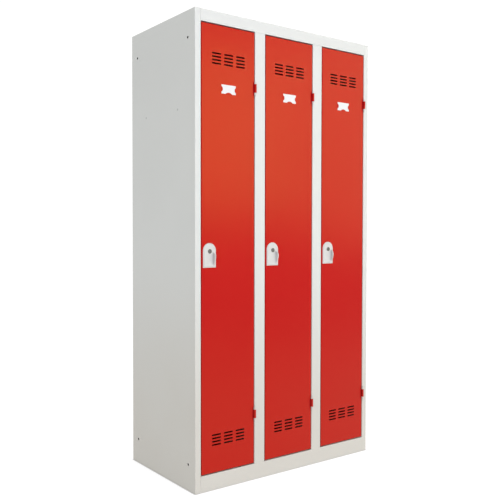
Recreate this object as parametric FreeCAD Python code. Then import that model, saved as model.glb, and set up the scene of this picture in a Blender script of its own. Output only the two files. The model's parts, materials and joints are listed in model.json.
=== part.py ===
import FreeCAD, Part
import math
import os

Vector = FreeCAD.Vector

# All sizes are in millimetres. X runs along the front, -Y is the front, Z is up from the floor.

# Carcass of columns side by side, folded from one gauge of sheet
column_count = 3
column_pitch = 300.0
depth = 500.0
height = 1800.0
sheet = 0.8
bend_inside = 0.6

# Front frame
stile_face = 25.0
top_rail_face = 45.0
bottom_rail_face = 62.0
reveal_depth = 22.0
stop_lip = 10.0
rail_weld_lip = 12.0

# Flanges of the panels behind the frame
rear_flange = 15.0
partition_flange = 15.0
partition_weld_gap = 0.3
roof_flange = 20.0
base_lip = 15.0

# Holes that couple one locker to the next
coupling_radius = 5.0
coupling_from_edge = 50.0
coupling_from_end = 100.0

# Spot weld marks on the side panels, where the shelves are welded to them
weld_mark_count = 2
weld_mark_pitch = 250.0
weld_mark_radius = 3.4
weld_mark_floor_radius = 2.4
weld_mark_depth = 0.2

# Hat shelf
shelf_below_top = 347.0
shelf_flange = 20.0
shelf_set_back = 45.0

# Hanging rail and its wall sockets
rail_radius = 8.0
rail_wall = 1.2
rail_below_shelf = 60.0
rail_from_back = 250.0
socket_flange_radius = 17.0
socket_flange = 2.0
socket_collar = 12.0
socket_collar_wall = 2.4
socket_clearance = 0.1
rail_end_clearance = 0.5

# Coat hooks on the back wall
hooks_per_column = 2
hook_pitch = 120.0
hook_below_shelf = 130.0
hook_plate_width = 22.0
hook_plate_height = 44.0
hook_plate = 2.0
hook_wire_radius = 3.5
hook_reach = 38.0
hook_bend = 12.0
hook_rise = 12.0
hook_tip_radius = 5.0

# Doors, set flush in the frame
door_gap = 3.0
door_end_gap = 4.5
door_depth = 19.0
door_lip = 12.0

# Vent slots in a block near each end of the door
vent_columns = 3
vent_rows = 4
vent_length = 41.0
vent_height = 6.0
vent_column_pitch = 55.0
vent_row_pitch = 12.5
vent_from_end = 124.0

# Name card and the tabs pressed out of the door to hold it
card_width = 66.0
card_height = 34.0
card_thickness = 0.5
card_below_door_top = 234.5
tab_room = 0.1
tab_edge_clearance = 0.3
side_tab_chord = 20.0
bottom_tab_chord = 30.0
tab_rise = 6.0

# Stiffener inside the door
stiffener_width = 60.0
stiffener_crown = 36.0
stiffener_depth = 14.0
stiffener_vent_margin = 20.0

# Hinges, with the knuckles in front of the door gap
hinge_below_door_top = 215.5
hinge_above_door_bottom = 196.0
hinge_barrel_radius = 4.75
hinge_face_clearance = 0.15
hinge_pin_radius = 2.5
hinge_pin_clearance = 0.05
hinge_pin_head_radius = 3.6
hinge_pin_head = 1.2
door_knuckle = 33.0
frame_knuckle = 9.0
knuckle_clearance = 0.4
hinge_leaf_depth = 17.0
hinge_leaf_clearance = 0.2

# Lock plate with its finger pull
lock_from_door_edge = 34.5
lock_below_door_middle = 3.5
plate_width = 57.0
plate_height = 92.0
plate_arch_above_axis = 2.5
plate_thickness = 4.0
plate_edge = 1.6
plate_rim = 6.0
plate_edge_rounding = 1.0
plate_face_rounding = 4.0
pull_from_axis = 15.0
pull_width = 4.4
pull_proud = 17.5
pull_below_axis = 4.0
pull_crest_below_axis = 19.0
pull_above_plate_end = 8.0
pull_rounding = 1.4

# Lock barrel, nut, plug, cam and cam screw
barrel_radius = 8.0
barrel_head_radius = 8.5
barrel_head = 1.5
barrel_head_chamfer = 0.5
barrel_hole_clearance = 0.2
nut_sides = 6
nut_across_flats = 24.0
nut_thickness = 5.0
nut_thread_clearance = 0.05
plug_radius = 5.5
plug_clearance = 0.05
plug_flange_radius = 6.6
plug_flange = 0.9
plug_end_clearance = 0.1
keyway_width = 1.8
keyway_height = 8.0
keyway_depth = 14.0
drive_square = 7.0
drive_clearance = 0.05
cam_behind_lip = 2.3
cam_thickness = 2.5
cam_width = 14.0
cam_length = 38.0
cam_barrel_clearance = 0.4
screw_radius = 2.1
screw_clearance = 0.05
screw_length = 8.0
screw_head_radius = 4.8
screw_head = 3.0
screw_head_rounding = 1.0

# Rubber buffers on the closing edge of the door
buffer_radius = 3.5
buffer_clearance = 0.1
buffer_from_door_end = 250.0

width = column_count * column_pitch
left = -width / 2
right = width / 2
front = -depth / 2
back = depth / 2
half = sheet / 2
opening_bottom = bottom_rail_face
opening_top = height - top_rail_face
back_inner = back - 2 * sheet
inside_bends = (left + sheet + bend_inside, right - sheet - bend_inside)
frame_back = front + reveal_depth
door_bottom = opening_bottom + door_end_gap
door_top = opening_top - door_end_gap
lock_z = (door_bottom + door_top) / 2 - lock_below_door_middle
shelf_z = height - shelf_below_top
hinge_heights = (door_bottom + hinge_above_door_bottom, door_top - hinge_below_door_top)
hinge_y = front - hinge_barrel_radius - hinge_face_clearance
cam_front = frame_back + cam_behind_lip
cam_back = cam_front + cam_thickness
barrel_back = cam_front - cam_barrel_clearance
plate_front = front - plate_thickness
plate_arch_z = lock_z + plate_arch_above_axis
plate_end = plate_arch_z + plate_width / 2 - plate_height
barrel_front = plate_front - barrel_head


# Shapes used throughout

def box(x, y, z):
    return Part.makeBox(x[1] - x[0], y[1] - y[0], z[1] - z[0], Vector(x[0], y[0], z[0]))


def rod(radius, start, end):
    run = end - start
    return Part.makeCylinder(radius, run.Length, start, run)


def join(*solids):
    return solids[0].fuse(list(solids[1:])).removeSplitter()


def line(start, end):
    return Part.LineSegment(start, end).toShape()


def arc(start, middle, end):
    return Part.Arc(start, middle, end).toShape()


def edges_at(solid, y):
    # Edges that lie in one plane across Y
    return [edge for edge in solid.Edges if all(abs(end.Y - y) < half for end in edge.Vertexes)]


def open_tray(x, y, z):
    # A sheet with its four edges turned down, open below
    inside = box((x[0] + sheet, x[1] - sheet), (y[0] + sheet, y[1] - sheet), (z[0] - sheet, z[1] - sheet))
    return box(x, y, z).cut(inside)


def toward(start, end):
    run = (end[0] - start[0], end[1] - start[1])
    length = math.hypot(*run)
    return (run[0] / length, run[1] / length)


def moved(point, direction, distance):
    return (point[0] + direction[0] * distance, point[1] + direction[1] * distance)


bend_points = 3


def sheet_side(points, offset):
    # One face of a folded sheet: its first point, three points along every square bend, its last point
    middle_radius = bend_inside + half
    runs = [toward(a, b) for a, b in zip(points, points[1:])]
    normals = [(-run[1], run[0]) for run in runs]
    side = [moved(points[0], normals[0], offset)]
    for index, corner in enumerate(points[1:-1]):
        before, after = runs[index], runs[index + 1]
        turn = before[0] * after[1] - before[1] * after[0]
        centre = moved(moved(corner, before, -middle_radius), after, middle_radius)
        side.append(moved(moved(corner, before, -middle_radius), normals[index], offset))
        side.append(moved(centre, toward(centre, corner), middle_radius - turn * offset))
        side.append(moved(moved(corner, after, middle_radius), normals[index + 1], offset))
    side.append(moved(points[-1], normals[-1], offset))
    return side


def side_edges(side):
    edges = []
    for index in range(0, len(side) - 1, bend_points):
        edges.append(line(side[index], side[index + 1]))
        bend = side[index + 1:index + 1 + bend_points]
        if len(bend) == bend_points:
            edges.append(arc(*bend))
    return edges


def folded(points, place, run):
    # A sheet folded along its centre line, with place setting a point of the section in space
    one = [place(*point) for point in sheet_side(points, half)]
    other = [place(*point) for point in reversed(sheet_side(points, -half))]
    edges = side_edges(one) + [line(one[-1], other[0])] + side_edges(other) + [line(other[-1], one[0])]
    return Part.Face(Part.Wire(edges)).extrude(run)


def upright(points, low, high):
    return folded(points, lambda x, y: Vector(x, y, low), Vector(0, 0, high - low))


def lengthwise(points, low, high):
    return folded(points, lambda y, z: Vector(low, y, z), Vector(high - low, 0, 0))


def write(name, *solids):
    shape = solids[0] if len(solids) == 1 else Part.makeCompound(list(solids))
    shape.exportStep(os.path.join("parts", name + ".step"))
    state = "valid" if shape.isValid() else "NOT VALID"
    print(name, len(shape.Solids), "solids", round(shape.Volume), "mm3", state)


# Places shared by the columns

def column_left(column):
    return left + column * column_pitch


def inner_walls(column):
    low = left + sheet if column == 0 else column_left(column) + half
    high = right - sheet if column == column_count - 1 else column_left(column + 1) - half
    return low, high


def column_middle(column):
    return column_left(column) + column_pitch / 2


def door_edges(column):
    low = column_left(column) + stile_face + door_gap
    return low, column_left(column + 1) - stile_face - door_gap


def lock_x(column):
    return door_edges(column)[0] + lock_from_door_edge


def hinge_x(column):
    return door_edges(column)[1] + door_gap / 2


# Carcass panels

def side_panel():
    section = [
        (left + rear_flange, back - half),
        (left + half, back - half),
        (left + half, front + half),
        (left + stile_face - half, front + half),
        (left + stile_face - half, frame_back - half),
        (left + stile_face + stop_lip, frame_back - half),
    ]
    panel = upright(section, 0, height)
    lip_x = (left + stile_face, left + stile_face + stop_lip + sheet)
    lip_y = (front, frame_back + sheet)
    for ends in ((0, opening_bottom), (opening_top, height)):
        panel = panel.cut(box(lip_x, lip_y, ends))
    for y in (front + coupling_from_edge, back - coupling_from_edge):
        for z in (coupling_from_end, height - coupling_from_end):
            hole_start = Vector(left - sheet, y, z)
            panel = panel.cut(rod(coupling_radius, hole_start, Vector(left + 2 * sheet, y, z)))
    first = -weld_mark_pitch * (weld_mark_count - 1) / 2
    for index in range(weld_mark_count):
        mark = Vector(left, first + index * weld_mark_pitch, shelf_z - shelf_flange / 2)
        dent = (weld_mark_radius, weld_mark_floor_radius, weld_mark_depth)
        panel = panel.cut(Part.makeCone(*dent, mark, Vector(1, 0, 0)))
    return panel


def back_panel():
    return box(inside_bends, (back_inner, back - sheet), (0, height - sheet))


def top_panel():
    roof = open_tray((left + sheet, right - sheet), (frame_back, back_inner), (height - roof_flange, height))
    rear_edge = box(inside_bends, (back_inner - sheet, back - sheet), (height - sheet, height))
    rear_gap = box((left, right), (back_inner - sheet, back_inner), (0, height - sheet))
    roof = join(roof.cut(rear_gap), rear_edge)
    ear_x = (left + sheet, left + stile_face - sheet)
    ear_y = (front + sheet + bend_inside, frame_back + sheet)
    ear = box(ear_x, ear_y, (height - sheet, height))
    return join(roof, ear, ear.mirror(Vector(0, 0, 0), Vector(1, 0, 0)))


def base_pan():
    x = (left + sheet, right - sheet)
    y = (frame_back, back_inner)
    pan = box(x, y, (0, bottom_rail_face))
    inside = box(
        (x[0] + sheet, x[1] - sheet), (y[0] + sheet, y[1] - sheet), (sheet, bottom_rail_face - sheet)
    )
    mouth = box((x[0] + base_lip, x[1] - base_lip), (y[0] + base_lip, y[1] - base_lip), (-sheet, 2 * sheet))
    return pan.cut(inside).cut(mouth)


def top_rail():
    section = [
        (frame_back - half, height - rail_weld_lip),
        (frame_back - half, height - half),
        (front + half, height - half),
        (front + half, opening_top + half),
        (frame_back, opening_top + half),
    ]
    return lengthwise(section, left + stile_face, right - stile_face)


def bottom_rail():
    section = [
        (front + half, 0),
        (front + half, opening_bottom - half),
        (frame_back - half, opening_bottom - half),
        (frame_back - half, opening_bottom - rail_weld_lip),
    ]
    return lengthwise(section, left + stile_face, right - stile_face)


def middle_stile(x):
    section = [
        (x - stile_face - stop_lip, frame_back - half),
        (x - stile_face + half, frame_back - half),
        (x - stile_face + half, front + half),
        (x + stile_face - half, front + half),
        (x + stile_face - half, frame_back - half),
        (x + stile_face + stop_lip, frame_back - half),
    ]
    return upright(section, opening_bottom, opening_top)


def partition(x):
    wall_x = (x - half, x + half)
    flange_x = (x - half, x + partition_flange)
    under_roof = height - sheet
    above_y = (frame_back + sheet, back_inner)
    stile_inside = front + sheet + partition_weld_gap
    whole_y = (stile_inside, back_inner)
    wall = box(wall_x, whole_y, (opening_bottom, opening_top))
    above = box(wall_x, above_y, (opening_top, under_roof))
    front_flange = box(flange_x, (stile_inside, stile_inside + sheet), (opening_bottom, opening_top))
    back_flange = box(flange_x, (back_inner - sheet, back_inner), (opening_bottom, under_roof))
    foot = box(flange_x, whole_y, (opening_bottom, opening_bottom + sheet))
    head = box(flange_x, above_y, (under_roof - sheet, under_roof))
    return join(wall, above, front_flange, back_flange, foot, head)


# Inside of a column

def hat_shelf(column):
    depth_run = (front + shelf_set_back, back_inner - sheet)
    return open_tray(inner_walls(column), depth_run, (shelf_z - shelf_flange, shelf_z))


def rail_axis(x):
    return Vector(x, back - rail_from_back, shelf_z - rail_below_shelf)


def hanging_rail(column):
    low, high = inner_walls(column)
    end = socket_flange + rail_end_clearance
    tube = rod(rail_radius, rail_axis(low + end), rail_axis(high - end))
    return tube.cut(rod(rail_radius - rail_wall, rail_axis(low), rail_axis(high)))


def rail_socket(wall, inward):
    face = wall + inward * socket_flange
    collar_end = face + inward * socket_collar
    inner = rail_radius + socket_clearance
    flange = rod(socket_flange_radius, rail_axis(wall), rail_axis(face))
    collar = rod(inner + socket_collar_wall, rail_axis(wall), rail_axis(collar_end))
    return join(flange, collar).cut(rod(inner, rail_axis(face), rail_axis(collar_end + inward)))


def coat_hook(x):
    z = shelf_z - hook_below_shelf
    plate_y = back_inner - hook_plate
    plate = box(
        (x - hook_plate_width / 2, x + hook_plate_width / 2),
        (plate_y, back_inner),
        (z - hook_plate_height / 2, z + hook_plate_height / 2),
    )
    plate_edges = [edge for edge in plate.Edges if abs(edge.tangentAt(edge.FirstParameter).y) > half]
    plate = plate.makeFillet(hook_plate_width / 2 - sheet, plate_edges)
    tip_y = back_inner - hook_reach
    shoulder = hook_bend * (1 - 1 / math.sqrt(2))
    root = Vector(x, plate_y + hook_plate / 2, z)
    bend_start = Vector(x, tip_y + hook_bend, z)
    bend_middle = Vector(x, tip_y + shoulder, z + shoulder)
    bend_end = Vector(x, tip_y, z + hook_bend)
    tip = Vector(x, tip_y, z + hook_bend + hook_rise)
    path = Part.Wire([line(root, bend_start), arc(bend_start, bend_middle, bend_end), line(bend_end, tip)])
    section = Part.Wire([Part.makeCircle(hook_wire_radius, root, Vector(0, -1, 0))])
    prong = path.makePipeShell([section], True, False)
    return join(plate, prong, Part.makeSphere(hook_tip_radius, tip))


def coat_hooks(column):
    first = column_middle(column) - hook_pitch * (hooks_per_column - 1) / 2
    return [coat_hook(first + index * hook_pitch) for index in range(hooks_per_column)]


# Hinges

def knuckle(column, low, high, leaf_x):
    x = hinge_x(column)
    barrel = rod(hinge_barrel_radius, Vector(x, hinge_y, low), Vector(x, hinge_y, high))
    leaf = box(leaf_x, (hinge_y, front + hinge_leaf_depth), (low, high))
    bore_radius = hinge_pin_radius + hinge_pin_clearance
    bore = rod(bore_radius, Vector(x, hinge_y, low - sheet), Vector(x, hinge_y, high + sheet))
    return join(barrel, leaf).cut(bore)


def hinge_leaf_x(column, side):
    reach = hinge_x(column) + side * door_gap / 2
    root = hinge_x(column) + side * hinge_leaf_clearance
    return (min(root, reach), max(root, reach))


def door_hinge(column):
    leaf_x = hinge_leaf_x(column, -1)
    return [knuckle(column, z - door_knuckle / 2, z + door_knuckle / 2, leaf_x) for z in hinge_heights]


def frame_hinge(column):
    leaf_x = hinge_leaf_x(column, 1)
    start = door_knuckle / 2 + knuckle_clearance
    knuckles = []
    for z in hinge_heights:
        knuckles.append(knuckle(column, z - start - frame_knuckle, z - start, leaf_x))
        knuckles.append(knuckle(column, z + start, z + start + frame_knuckle, leaf_x))
    return knuckles


def hinge_pin(column, z):
    x = hinge_x(column)
    end = door_knuckle / 2 + knuckle_clearance + frame_knuckle
    low = Vector(x, hinge_y, z - end)
    high = Vector(x, hinge_y, z + end)
    head = Vector(0, 0, hinge_pin_head)
    shank = rod(hinge_pin_radius, low, high)
    top = rod(hinge_pin_head_radius, high, high + head)
    foot = rod(hinge_pin_head_radius, low - head, low)
    return join(shank, top, foot)


# Doors

def slot(x, z):
    radius = vent_height / 2
    reach = vent_length / 2 - radius
    y = (front - sheet, front + 2 * sheet)
    ends = [rod(radius, Vector(x + s * reach, y[0], z), Vector(x + s * reach, y[1], z)) for s in (-1, 1)]
    return join(box((x - reach, x + reach), y, (z - radius, z + radius)), *ends)


def vent_slots(column):
    slots = []
    for block in (door_bottom + vent_from_end, door_top - vent_from_end):
        for across in range(vent_columns):
            x = column_middle(column) + (across - (vent_columns - 1) / 2) * vent_column_pitch
            for row in range(vent_rows):
                slots.append(slot(x, block + (row - (vent_rows - 1) / 2) * vent_row_pitch))
    return slots


def card_centre(column):
    return Vector(column_middle(column), front, door_top - card_below_door_top)


def card_tabs(column):
    # Each tab is a half moon pressed forward out of the sheet: its root, the way it lies, its chord
    centre = card_centre(column)
    side_reach = card_width / 2 + tab_edge_clearance
    down_reach = card_height / 2 + tab_edge_clearance
    return [
        (centre + Vector(-side_reach, 0, 0), Vector(1, 0, 0), side_tab_chord),
        (centre + Vector(side_reach, 0, 0), Vector(-1, 0, 0), side_tab_chord),
        (centre + Vector(0, 0, -down_reach), Vector(0, 0, 1), bottom_tab_chord),
    ]


def half_moon(root, inward, chord):
    along = inward.cross(Vector(0, 1, 0)) * (chord / 2)
    crown = arc(root - along, root + inward * tab_rise, root + along)
    return Part.Face(Part.Wire([crown, line(root + along, root - along)]))


def card_tab(root, inward, chord):
    inner = card_thickness + tab_room
    moon = half_moon(root - Vector(0, inner + sheet, 0), inward, chord).extrude(Vector(0, sheet, 0))
    along = inward.cross(Vector(0, 1, 0)) * (chord / 2)
    outer = root - inward * sheet
    corners = (root - along, root + along, outer - along, outer + along)
    span_x = (min(c.x for c in corners), max(c.x for c in corners))
    span_z = (min(c.z for c in corners), max(c.z for c in corners))
    step = box(span_x, (front - inner - sheet, front + half), span_z)
    return join(moon, step)


def door_panel(column):
    x = door_edges(column)
    y = (front, front + door_depth)
    z = (door_bottom, door_top)
    shell = box(x, y, z)
    shell = shell.makeFillet(bend_inside + sheet, edges_at(shell, front))
    inside = box(
        (x[0] + sheet, x[1] - sheet), (y[0] + sheet, y[1] - sheet), (z[0] + sheet, z[1] - sheet)
    )
    inside = inside.makeFillet(bend_inside, edges_at(inside, front + sheet))
    mouth = box((x[0] + door_lip, x[1] - door_lip), (y[1] - 2 * sheet, y[1] + sheet),
                (z[0] + door_lip, z[1] - door_lip))
    lock_hole = rod(
        barrel_radius + barrel_hole_clearance,
        Vector(lock_x(column), front - sheet, lock_z),
        Vector(lock_x(column), front + 2 * sheet, lock_z),
    )
    tabs = card_tabs(column)
    tab_holes = [half_moon(*tab).extrude(Vector(0, sheet, 0)) for tab in tabs]
    pan = shell.cut(inside).cut(mouth)
    pan = pan.cut(vent_slots(column) + [lock_hole] + tab_holes)
    return join(pan, *[card_tab(*tab) for tab in tabs])


def name_card(column):
    centre = card_centre(column)
    return box(
        (centre.x - card_width / 2, centre.x + card_width / 2),
        (front - card_thickness, front),
        (centre.z - card_height / 2, centre.z + card_height / 2),
    )


def door_stiffener(column):
    x = column_middle(column)
    weld_y = front + sheet + half
    crown_y = front + stiffener_depth - half
    wing = stiffener_width / 2
    crown = stiffener_crown / 2
    section = [
        (x - wing, weld_y),
        (x - crown, weld_y),
        (x - crown, crown_y),
        (x + crown, crown_y),
        (x + crown, weld_y),
        (x + wing, weld_y),
    ]
    vent_block = (vent_rows - 1) * vent_row_pitch + vent_height
    vent_reach = vent_from_end + vent_block / 2 + stiffener_vent_margin
    return upright(section, door_bottom + vent_reach, door_top - vent_reach)


def door_buffers(column):
    x = (door_edges(column)[0] + column_left(column) + stile_face + stop_lip) / 2
    start = front + door_depth
    end = frame_back - sheet - buffer_clearance
    heights = (door_bottom + buffer_from_door_end, door_top - buffer_from_door_end)
    return [rod(buffer_radius, Vector(x, start, z), Vector(x, end, z)) for z in heights]


# Locks

def plate_outline(x, y, inset):
    reach = plate_width / 2 - inset
    low = plate_end + inset
    corners = [Vector(x - reach, y, low), Vector(x + reach, y, low)]
    shoulders = [Vector(x + reach, y, plate_arch_z), Vector(x - reach, y, plate_arch_z)]
    arch = arc(shoulders[0], Vector(x, y, plate_arch_z + reach), shoulders[1])
    return Part.Wire([line(*corners), line(corners[1], shoulders[0]), arch, line(shoulders[1], corners[0])])


def bow(crest, end):
    # Middle of the arc that leaves the crest parallel to the door and reaches the end
    run = end - crest
    radius = (run.y ** 2 + run.z ** 2) / (2 * run.y)
    centre = crest + Vector(0, radius, 0)
    return centre + ((crest + end) / 2 - centre).normalize() * radius


def finger_pull(x):
    inner = x + pull_from_axis
    foot_y = front - plate_edge / 2
    top = Vector(inner, plate_front, lock_z - pull_below_axis)
    crest = Vector(inner, front - pull_proud, lock_z - pull_crest_below_axis)
    end = Vector(inner, plate_front, plate_end + pull_above_plate_end)
    top_foot = Vector(inner, foot_y, top.z)
    end_foot = Vector(inner, foot_y, end.z)
    bows = [arc(top, bow(crest, top), crest), arc(crest, bow(crest, end), end)]
    feet = [line(end, end_foot), line(end_foot, top_foot), line(top_foot, top)]
    fin = Part.Face(Part.Wire(bows + feet)).extrude(Vector(pull_width, 0, 0))
    crests = [edge for edge in fin.Edges if edge.Curve.TypeId == "Part::GeomCircle"]
    return fin.makeFillet(min(pull_rounding, pull_width / 2 - sheet), crests)


def lock_plate(column):
    x = lock_x(column)
    edge_y = front - plate_edge
    slab = Part.Face(plate_outline(x, front, 0)).extrude(Vector(0, -plate_edge, 0))
    rim = [plate_outline(x, edge_y, 0), plate_outline(x, plate_front, plate_rim)]
    plate = join(slab, Part.makeLoft(rim, True, True))
    plate = plate.makeFillet(plate_edge_rounding, edges_at(plate, edge_y))
    plate = plate.makeFillet(plate_face_rounding, edges_at(plate, plate_front))
    hole = rod(
        barrel_radius + barrel_hole_clearance,
        Vector(x, plate_front - sheet, lock_z),
        Vector(x, front + sheet, lock_z),
    )
    return join(plate, finger_pull(x)).cut(hole)


def along_lock(column, radius, start, end):
    x = lock_x(column)
    return rod(radius, Vector(x, start, lock_z), Vector(x, end, lock_z))


def lock_barrel(column):
    head = along_lock(column, barrel_head_radius, barrel_front, plate_front)
    head = head.makeChamfer(barrel_head_chamfer, edges_at(head, barrel_front))
    body = along_lock(column, barrel_radius, plate_front, barrel_back)
    bore = along_lock(column, plug_radius + plug_clearance, barrel_front - sheet, barrel_back + sheet)
    seat_depth = plug_flange + plug_end_clearance
    seat_radius = plug_flange_radius + plug_clearance
    seat = along_lock(column, seat_radius, barrel_front - sheet, barrel_front + seat_depth)
    return join(head, body).cut([bore, seat])


def lock_nut(column):
    x = lock_x(column)
    seat = front + sheet
    side_turn = 2 * math.pi / nut_sides
    corner = nut_across_flats / 2 / math.cos(side_turn / 2)
    turns = [side_turn * index for index in range(nut_sides + 1)]
    corners = [Vector(x + corner * math.cos(t), seat, lock_z + corner * math.sin(t)) for t in turns]
    prism = Part.Face(Part.makePolygon(corners)).extrude(Vector(0, nut_thickness, 0))
    bore_radius = barrel_radius + nut_thread_clearance
    return prism.cut(along_lock(column, bore_radius, seat - sheet, seat + nut_thickness + sheet))


def around_lock(column, x_reach, y, z_reach):
    x = lock_x(column)
    return box((x - x_reach, x + x_reach), y, (lock_z - z_reach, lock_z + z_reach))


def lock_plug(column):
    round_end = barrel_back + plug_end_clearance
    stem = along_lock(column, plug_radius, barrel_front, round_end)
    flange = along_lock(column, plug_flange_radius, barrel_front, barrel_front + plug_flange)
    drive = around_lock(column, drive_square / 2, (round_end, cam_back), drive_square / 2)
    keyway_y = (barrel_front - sheet, barrel_front + keyway_depth)
    keyway = around_lock(column, keyway_width / 2, keyway_y, keyway_height / 2)
    thread_end = cam_back - screw_length - screw_clearance
    thread = along_lock(column, screw_radius + screw_clearance, thread_end, cam_back + sheet)
    return join(stem, flange, drive).cut([keyway, thread])


def lock_cam(column):
    # The cam hangs down when the lock is open and turns to lie behind the stop lip
    x = lock_x(column)
    reach = cam_width / 2
    y = (cam_front, cam_back)
    tip_z = lock_z - cam_length + reach
    arm = box((x - reach, x + reach), y, (tip_z, lock_z))
    hub = along_lock(column, reach, *y)
    tip = rod(reach, Vector(x, cam_front, tip_z), Vector(x, cam_back, tip_z))
    hole_reach = drive_square / 2 + drive_clearance
    hole = around_lock(column, hole_reach, (cam_front - sheet, cam_back + sheet), hole_reach)
    return join(arm, hub, tip).cut(hole)


def cam_screw(column):
    shank = along_lock(column, screw_radius, cam_back - screw_length, cam_back)
    head = along_lock(column, screw_head_radius, cam_back, cam_back + screw_head)
    rear_rim = edges_at(head, cam_back + screw_head)
    return join(shank, head.makeFillet(screw_head_rounding, rear_rim))


os.makedirs("parts", exist_ok=True)

panel = side_panel()
write("side_panel_left", panel)
write("side_panel_right", panel.mirror(Vector(0, 0, 0), Vector(1, 0, 0)))
write("back_panel", back_panel())
write("top_panel", top_panel())
write("base_pan", base_pan())
write("top_rail", top_rail())
write("bottom_rail", bottom_rail())

for number in range(1, column_count):
    write(f"partition_{number}", partition(column_left(number)))
    write(f"middle_stile_{number}", middle_stile(column_left(number)))

sockets = []
pins = []
for column in range(column_count):
    number = column + 1
    walls = inner_walls(column)
    write(f"hat_shelf_{number}", hat_shelf(column))
    write(f"hanging_rail_{number}", hanging_rail(column))
    write(f"coat_hooks_{number}", *coat_hooks(column))
    write(f"frame_hinge_{number}", *frame_hinge(column))
    sockets += [rail_socket(walls[0], 1), rail_socket(walls[1], -1)]
    pins += [hinge_pin(column, z) for z in hinge_heights]
    write(f"door_panel_{number}", door_panel(column))
    write(f"door_stiffener_{number}", door_stiffener(column))
    write(f"door_hinge_{number}", *door_hinge(column))
    write(f"door_buffers_{number}", *door_buffers(column))
    write(f"name_card_{number}", name_card(column))
    write(f"lock_plate_{number}", lock_plate(column))
    write(f"lock_barrel_{number}", lock_barrel(column))
    write(f"lock_nut_{number}", lock_nut(column))
    write(f"lock_plug_{number}", lock_plug(column))
    write(f"lock_cam_{number}", lock_cam(column))
    write(f"cam_screw_{number}", cam_screw(column))
write("rail_sockets", *sockets)
write("hinge_pins", *pins)
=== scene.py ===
import json
import math
import bpy
from mathutils import Matrix, Vector


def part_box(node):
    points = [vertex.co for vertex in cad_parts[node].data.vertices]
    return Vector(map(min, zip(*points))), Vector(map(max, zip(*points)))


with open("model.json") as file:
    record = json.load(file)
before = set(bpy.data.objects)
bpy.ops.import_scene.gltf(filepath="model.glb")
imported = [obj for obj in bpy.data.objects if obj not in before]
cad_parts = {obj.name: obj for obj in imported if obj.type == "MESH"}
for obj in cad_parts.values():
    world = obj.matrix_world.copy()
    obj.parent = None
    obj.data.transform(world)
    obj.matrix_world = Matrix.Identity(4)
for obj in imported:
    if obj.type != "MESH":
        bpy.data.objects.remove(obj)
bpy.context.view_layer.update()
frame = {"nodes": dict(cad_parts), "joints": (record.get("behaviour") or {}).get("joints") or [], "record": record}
print("frame loaded:", len(frame["nodes"]), "nodes")


class Wire:  # a socket that takes part in plain sums
    def __init__(self, tree, socket):
        self.tree = tree
        self.socket = socket

    def add(self, kind, settings, sockets, out=0):
        node = self.tree.nodes.new(kind)
        for name, value in settings.items():
            setattr(node, name, value)
        for name, value in sockets.items():
            if isinstance(value, Wire):
                self.tree.links.new(value.socket, node.inputs[name])
            else:
                node.inputs[name].default_value = value
        return Wire(self.tree, node.outputs[out]) if node.outputs else None

    def other(self, out):  # another output of the same node
        return Wire(self.tree, self.socket.node.outputs[out])

    def sums(self, operation, *terms):
        return self.add("ShaderNodeMath", {"operation": operation}, dict(enumerate(terms)))

    def __add__(self, other):
        return self.sums("ADD", self, other)

    def __sub__(self, other):
        return self.sums("SUBTRACT", self, other)

    def __rsub__(self, other):
        return self.sums("SUBTRACT", other, self)

    def __mul__(self, other):
        return self.sums("MULTIPLY", self, other)

    def __mod__(self, other):
        return self.sums("FLOORED_MODULO", self, other)

    def __pow__(self, other):
        return self.sums("POWER", self, other)

    __radd__ = __add__
    __rmul__ = __mul__


def newFinish(name):
    finish = bpy.data.materials.new(name)
    finish.use_nodes = True
    tree = finish.node_tree
    tree.nodes.clear()
    place = tree.nodes.new("ShaderNodeTexCoord")
    return finish, Wire(tree, place.outputs["Object"])


def noise(at, perMetre, detail, roughness=0.5):
    sockets = {"Vector": at, "Scale": perMetre, "Detail": detail, "Roughness": roughness}
    return at.add("ShaderNodeTexNoise", {}, sockets)


def swing(pattern, amount):  # a noise pattern's mean is one half, so this varies about zero
    return amount * (pattern - 0.5)


def axes(at):  # a place split up, read as other("X"), other("Y") and other("Z")
    return at.add("ShaderNodeSeparateXYZ", {}, {"Vector": at})


def length(across, up):
    return (across * across + up * up) ** 0.5


def blendColour(at, mask, first, second):  # 6 and 7 are the Mix node's colours, and 2 is their blend
    return at.add("ShaderNodeMix", {"data_type": "RGBA"}, {0: mask, 6: first, 7: second}, 2)


def ease(at, value, low, high):
    sockets = {"Value": value, "From Min": low, "From Max": high}
    return at.add("ShaderNodeMapRange", {"interpolation_type": "SMOOTHSTEP"}, sockets)


def stretch(at, scale):
    return at.add("ShaderNodeMapping", {}, {"Vector": at, "Scale": scale})


def bump(at, height, depth, strength, under=None):
    sockets = {"Height": height, "Distance": depth, "Strength": strength}
    if under is not None:
        sockets["Normal"] = under
    return at.add("ShaderNodeBump", {}, sockets)


def surface(at, **sockets):
    shader = at.add("ShaderNodeBsdfPrincipled", {}, {k.replace("_", " "): v for k, v in sockets.items()})
    at.add("ShaderNodeOutputMaterial", {}, {"Surface": shader})


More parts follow.
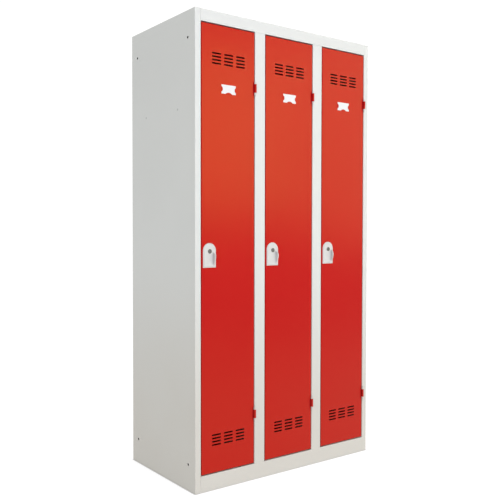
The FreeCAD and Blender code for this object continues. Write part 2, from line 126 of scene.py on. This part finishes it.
# in every look a pattern is (repeats per metre, detail), and a bump is (depth in metres, strength)
greyCoat = {
    "name": "greyPowderCoat",
    "deep": (0.520, 0.530, 0.512, 1),
    "pale": (0.585, 0.597, 0.578, 1),
    # painted shade: the grey coat is darker and warmer towards the floor
    "dusty": (0.487, 0.472, 0.430, 1),
    "rough": 0.40,
    "specular": 0.28,
    "tint": (1.0, 1.0, 1.0, 1),
}
redCoat = {
    "name": "redPowderCoat",
    "deep": (0.384, 0.0045, 0.0080, 1),
    "pale": (0.436, 0.0070, 0.0111, 1),
    # painted floor reflection: the red coat is lighter and more orange towards the floor
    "dusty": (0.384, 0.0115, 0.0105, 1),
    "rough": 0.20,
    "specular": 0.20,
    "tint": (1.0, 0.60, 0.08, 1),  # its sheen is orange
}
coatFilm = {  # what both coats share
    "drift": (2.3, 4.0),  # slow drift of the film's thickness
    "peel": (620.0, 2.0),  # orange peel, about 1.5 mm across
    "grain": (2600.0, 1.0),
    "grainShare": 0.25,  # of the colour's variation
    "sway": (3.1, 0.0),  # large sheets are never quite flat
    "dustRise": (0.1, 1.0),  # heights between which the painted foot shade and reflection thin out
    "dustBase": 0.6,
    "dustDrift": 0.8,
    "swayBump": (0.0016, 0.6),
    "peelBump": (0.00025, 0.45),
    "roughSwing": 0.10,
}
weldMark = {
    "pitch": 0.250,  # along Y, the two marks of each shelf
    "core": 0.0024,
    "edge": 0.0060,
    "shade": 0.55,
    "tone": (0.24, 0.245, 0.24, 1),
}


def weldMarks(at):  # the shelves are spot welded to the walls, and the coat is made darker round each weld
    low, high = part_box("hat_shelf_1")
    split = axes(at)
    along = at.sums("ABSOLUTE", split.other("Y")) - weldMark["pitch"] / 2
    up = split.other("Z") - (low[2] + high[2]) / 2
    return weldMark["shade"] * (1.0 - ease(at, length(along, up), weldMark["core"], weldMark["edge"]))


def powderCoat(look, welded=False):
    finish, at = newFinish(look["name"])
    drift = noise(at, *coatFilm["drift"])
    peel = noise(at, *coatFilm["peel"])
    grain = noise(at, *coatFilm["grain"])
    sway = noise(at, *coatFilm["sway"])
    high = ease(at, axes(at).other("Z"), *coatFilm["dustRise"])
    paintedFootMask = (1.0 - high) * (coatFilm["dustBase"] + coatFilm["dustDrift"] * drift)  # painted shade on the grey coat, painted floor reflection on the red, stronger towards the floor
    share = coatFilm["grainShare"]
    colour = blendColour(at, drift * (1 - share) + grain * share, look["deep"], look["pale"])
    # paints the foot tone: shade on the grey coat, the floor's reflection on the red
    colour = blendColour(at, paintedFootMask, colour, look["dusty"])
    if welded:
        colour = blendColour(at, weldMarks(at), colour, weldMark["tone"])
    skin = bump(at, sway, *coatFilm["swayBump"])
    surface(
        at,
        Base_Color=colour,
        Roughness=look["rough"] + swing(peel, coatFilm["roughSwing"]) + swing(drift, coatFilm["roughSwing"]),
        Normal=bump(at, peel, *coatFilm["peelBump"], skin),
        Specular_IOR_Level=look["specular"],
        Specular_Tint=look["tint"],
    )
    return finish


platePlastic = {
    "name": "lockPlastic",
    "deep": (0.485, 0.482, 0.467, 1),
    "pale": (0.543, 0.539, 0.522, 1),
    "drift": (40.0, 2.0),
    "spark": (1900.0, 3.0),  # spark-eroded mould texture
    "sparkBump": (0.00006, 0.5),
    "rough": 0.46,
    "roughSwing": 0.14,
    "specular": 0.42,
}


def mouldedPlastic(look):
    finish, at = newFinish(look["name"])
    spark = noise(at, *look["spark"])
    surface(
        at,
        Base_Color=blendColour(at, noise(at, *look["drift"]), look["deep"], look["pale"]),
        Roughness=look["rough"] + swing(spark, look["roughSwing"]),
        Normal=bump(at, spark, *look["sparkBump"]),
        Specular_IOR_Level=look["specular"],
    )
    return finish


cylinderMetal = {
    "name": "lockNickel",
    "dull": (0.088, 0.087, 0.088, 1),
    "bright": (0.165, 0.163, 0.166, 1),
    "stain": (320.0, 3.0),
    "ringPitch": 0.00045,  # marks left by the lathe
    "ringBump": (0.00002, 0.5),
    "rough": 0.36,
    "stainSwing": 0.12,
    "ringSwing": 0.03,
}


def turnedNickel(look):
    finish, at = newFinish(look["name"])
    locks = [joint["pos_m"] for joint in frame["joints"] if joint["name"].startswith("lock")]
    pitch = locks[1][0] - locks[0][0]
    split = axes(at)
    across = (split.other("X") - (locks[0][0] - pitch / 2)) % pitch - pitch / 2  # from the nearest lock
    up = split.other("Z") - locks[0][2]
    rings = at.sums("SINE", length(across, up) * (2 * math.pi / look["ringPitch"]))
    stain = noise(at, *look["stain"])
    surface(
        at,
        Base_Color=blendColour(at, stain, look["dull"], look["bright"]),
        Metallic=1.0,
        Roughness=look["rough"] + swing(stain, look["stainSwing"]) + look["ringSwing"] * rings,
        Normal=bump(at, rings, *look["ringBump"]),
    )
    return finish


zincPlate = {
    "name": "zincPlate",
    "cool": (0.50, 0.52, 0.55, 1),
    "warm": (0.62, 0.61, 0.58, 1),
    "drift": (55.0, 3.0),
    "lines": (160.0, 2.0),  # drawing lines along the tube and the strips
    "lineStretch": (1.0, 18.0, 18.0),
    "lineBump": (0.00004, 0.4),
    "rough": 0.30,
    "lineSwing": 0.16,
    "driftSwing": 0.10,
}


def brightZinc(look):
    finish, at = newFinish(look["name"])
    drift = noise(at, *look["drift"])
    lines = noise(stretch(at, look["lineStretch"]), *look["lines"])
    surface(
        at,
        Base_Color=blendColour(at, drift, look["cool"], look["warm"]),
        Metallic=1.0,
        Roughness=look["rough"] + swing(lines, look["lineSwing"]) + swing(drift, look["driftSwing"]),
        Normal=bump(at, lines, *look["lineBump"]),
    )
    return finish


cardStock = {
    "name": "cardStock",
    "shade": (0.60, 0.60, 0.60, 1),
    "light": (0.70, 0.70, 0.70, 1),
    "fibre": (900.0, 5.0, 0.7),  # with the noise's own roughness
    "fibreStretch": (1.0, 1.0, 3.0),
    "fibreBump": (0.00005, 0.4),
    "rough": 0.78,
    "roughSwing": 0.12,
    "specular": 0.25,
}


def plainCard(look):
    finish, at = newFinish(look["name"])
    fibre = noise(stretch(at, look["fibreStretch"]), *look["fibre"])
    surface(
        at,
        Base_Color=blendColour(at, fibre, look["shade"], look["light"]),
        Roughness=look["rough"] + swing(fibre, look["roughSwing"]),
        Normal=bump(at, fibre, *look["fibreBump"]),
        Specular_IOR_Level=look["specular"],
    )
    return finish


bufferRubber = {
    "name": "bufferRubber",
    "deep": (0.014, 0.014, 0.014, 1),
    "pale": (0.035, 0.035, 0.036, 1),
    "bloom": (260.0, 4.0),  # the dull film that rubber sweats out
    "bloomBump": (0.00008, 0.4),
    "rough": 0.74,
    "roughSwing": 0.16,
    "specular": 0.3,
}


def softRubber(look):
    finish, at = newFinish(look["name"])
    bloom = noise(at, *look["bloom"])
    surface(
        at,
        Base_Color=blendColour(at, bloom, look["deep"], look["pale"]),
        Roughness=look["rough"] + swing(bloom, look["roughSwing"]),
        Normal=bump(at, bloom, *look["bloomBump"]),
        Specular_IOR_Level=look["specular"],
    )
    return finish


finishes = {
    "body_grey": powderCoat(greyCoat, welded=True),
    "door_red": powderCoat(redCoat),
    "lock_plastic": mouldedPlastic(platePlastic),
    "lock_metal": turnedNickel(cylinderMetal),
    "zinc_steel": brightZinc(zincPlate),
    "white_card": plainCard(cardStock),
    "black_rubber": softRubber(bufferRubber),
}
for subpart in frame["record"]["subparts"]:
    mesh = frame["nodes"][subpart["node"]].data
    mesh.materials.clear()
    mesh.materials.append(finishes[subpart["material_slot"]])


paleFloor = {
    "size": 60.0,
    "paint": (0.36, 0.355, 0.35, 1),
    "glow": (0.72, 0.72, 0.72, 1),  # lit from within, so that it stays white
    # the floor's glow inside the painted contact shadow
    "contactGlow": (0.30, 0.30, 0.30, 1),
    "contact": 0.007,  # width of the painted contact shadow, a dark line around the locker's foot
    "farGlow": (0.10, 0.10, 0.10, 1),
    "dimming": (-4.0, -1.2),  # where along Y the floor goes from its far glow to its full glow
    "rough": 0.9,
    "specular": 0.1,
}


def makeFloor():
    bpy.ops.mesh.primitive_plane_add(size=paleFloor["size"])
    floor = bpy.context.object
    floor.name = "studioFloor"
    finish, at = newFinish("paleFloor")
    low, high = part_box("side_panel_left")[0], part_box("side_panel_right")[1]
    split = axes(at)
    away = []
    for axis, name in enumerate("XY"):  # how far a point lies outside the locker's footprint
        offset = at.sums("ABSOLUTE", split.other(name) - (low[axis] + high[axis]) / 2)
        away.append(at.sums("MAXIMUM", offset - (high[axis] - low[axis]) / 2, 0.0))
    # a painted contact shadow: the floor's glow drops round the locker's foot
    clear = ease(at, length(*away), 0.0, paleFloor["contact"])
    near = ease(at, split.other("Y"), *paleFloor["dimming"])
    glow = blendColour(at, near, paleFloor["farGlow"], paleFloor["glow"])
    surface(
        at,
        Base_Color=paleFloor["paint"],
        Emission_Color=blendColour(at, clear, paleFloor["contactGlow"], glow),
        Emission_Strength=1.0,
        Roughness=paleFloor["rough"],
        Specular_IOR_Level=paleFloor["specular"],
    )
    floor.data.materials.append(finish)


surround = {  # white behind the locker, dimmer at the back left and in front
    "behind": (1.065, 1.07, 1.06, 1),
    "behindLeft": (0.80, 0.805, 0.79, 1),
    "inFront": (0.63, 0.63, 0.675, 1),
    "horizon": (0.43, 0.43, 0.43, 1),  # in front, the tone of the far floor
    "rise": (0.0, 0.22),  # heights of a ray, from the horizon's tone to the full one
    "leftTurn": (-0.6, 0.0),  # across X and along Y, where one tone turns into the next
    "frontTurn": (-0.35, 0.05),
}


def makeSurround():
    world = bpy.data.worlds.new("studioSurround")
    world.use_nodes = True
    tree = world.node_tree
    tree.nodes.clear()
    ray = Wire(tree, tree.nodes.new("ShaderNodeTexCoord").outputs["Generated"])
    split = axes(ray)
    rise = ease(ray, split.other("Z"), *surround["rise"])
    front = blendColour(ray, rise, surround["horizon"], surround["inFront"])
    white = ray.sums("MAXIMUM", ease(ray, split.other("X"), *surround["leftTurn"]), 1.0 - rise)
    behind = blendColour(ray, white, surround["behindLeft"], surround["behind"])
    tone = blendColour(ray, ease(ray, split.other("Y"), *surround["frontTurn"]), front, behind)
    glow = ray.add("ShaderNodeBackground", {}, {"Color": tone, "Strength": 1.0})
    ray.add("ShaderNodeOutputWorld", {}, {"Surface": glow})
    bpy.context.scene.world = world


softBoxes = {
    "sheenBox": {  # the upper half of the first two doors mirrors this one
        "place": (3.75, -7.5, 2.58),
        "size": (3.8, 2.86),
        "power": 180.0,
        "colour": (1.0, 0.98, 0.84),
    },
    "sideBox": {  # and the last door this dimmer one
        "place": (6.5, -5.3, 2.42),
        "size": (3.2, 3.5),
        "power": 97.0,
        "colour": (1.0, 0.98, 0.66),
    },
    "leftBox": {  # lifts what faces left: finger pulls, knuckles and the side panel
        "place": (-5.6, -2.9, 2.6),
        "size": (1.4, 2.6),
        "power": 36.0,
        "colour": (1.0, 0.99, 0.97),
    },
    "fillBox": {  # a cool one, high in front
        "place": (-0.3, -4.2, 3.9),
        "size": (2.4, 2.4),
        "power": 110.0,
        "colour": (0.97, 0.985, 1.15),
    },
}
boxAim = (0.0, -0.25, 1.2)


def makeSoftBox(name, look):
    lamp = bpy.data.lights.new(name, "AREA")
    lamp.shape = "RECTANGLE"
    lamp.size, lamp.size_y = look["size"]
    lamp.energy = look["power"]
    lamp.color = look["colour"]
    box = bpy.data.objects.new(name, lamp)
    box.location = look["place"]
    aim = Vector(boxAim) - Vector(look["place"])
    box.rotation_euler = aim.to_track_quat("-Z", "Y").to_euler()
    box.visible_camera = False
    bpy.context.scene.collection.objects.link(box)


makeFloor()
makeSurround()
for boxName, boxLook in softBoxes.items():
    makeSoftBox(boxName, boxLook)
bpy.context.scene.view_settings.view_transform = "Standard"
print("studio ready")


viewpoint = {
    "place": (-1.8150834, -2.4291318, 0.9808653),
    "yaw": 0.6384,  # from +Y towards +X, in radians
    "pitch": -0.0271,
    "roll": 0.0015,
    "lens": 50.114,  # in millimetres, like the sensor's width
    "sensor": 36.0,
}


def makeCamera():
    yaw, pitch, roll = viewpoint["yaw"], viewpoint["pitch"], viewpoint["roll"]
    ahead = Vector((math.sin(yaw) * math.cos(pitch), math.cos(yaw) * math.cos(pitch), math.sin(pitch)))
    level = Vector((math.cos(yaw), -math.sin(yaw), 0))
    above = level.cross(ahead)
    side = level * math.cos(roll) + above * math.sin(roll)
    top = above * math.cos(roll) - level * math.sin(roll)
    lens = bpy.data.cameras.new("photoCamera")
    lens.sensor_width = viewpoint["sensor"]
    lens.lens = viewpoint["lens"]
    camera = bpy.data.objects.new("photoCamera", lens)
    turn = Matrix((side, top, -ahead)).transposed().to_4x4()
    camera.matrix_world = Matrix.Translation(viewpoint["place"]) @ turn
    bpy.context.scene.collection.objects.link(camera)
    bpy.context.scene.camera = camera


makeCamera()
print("camera set")

bpy.context.view_layer.update()
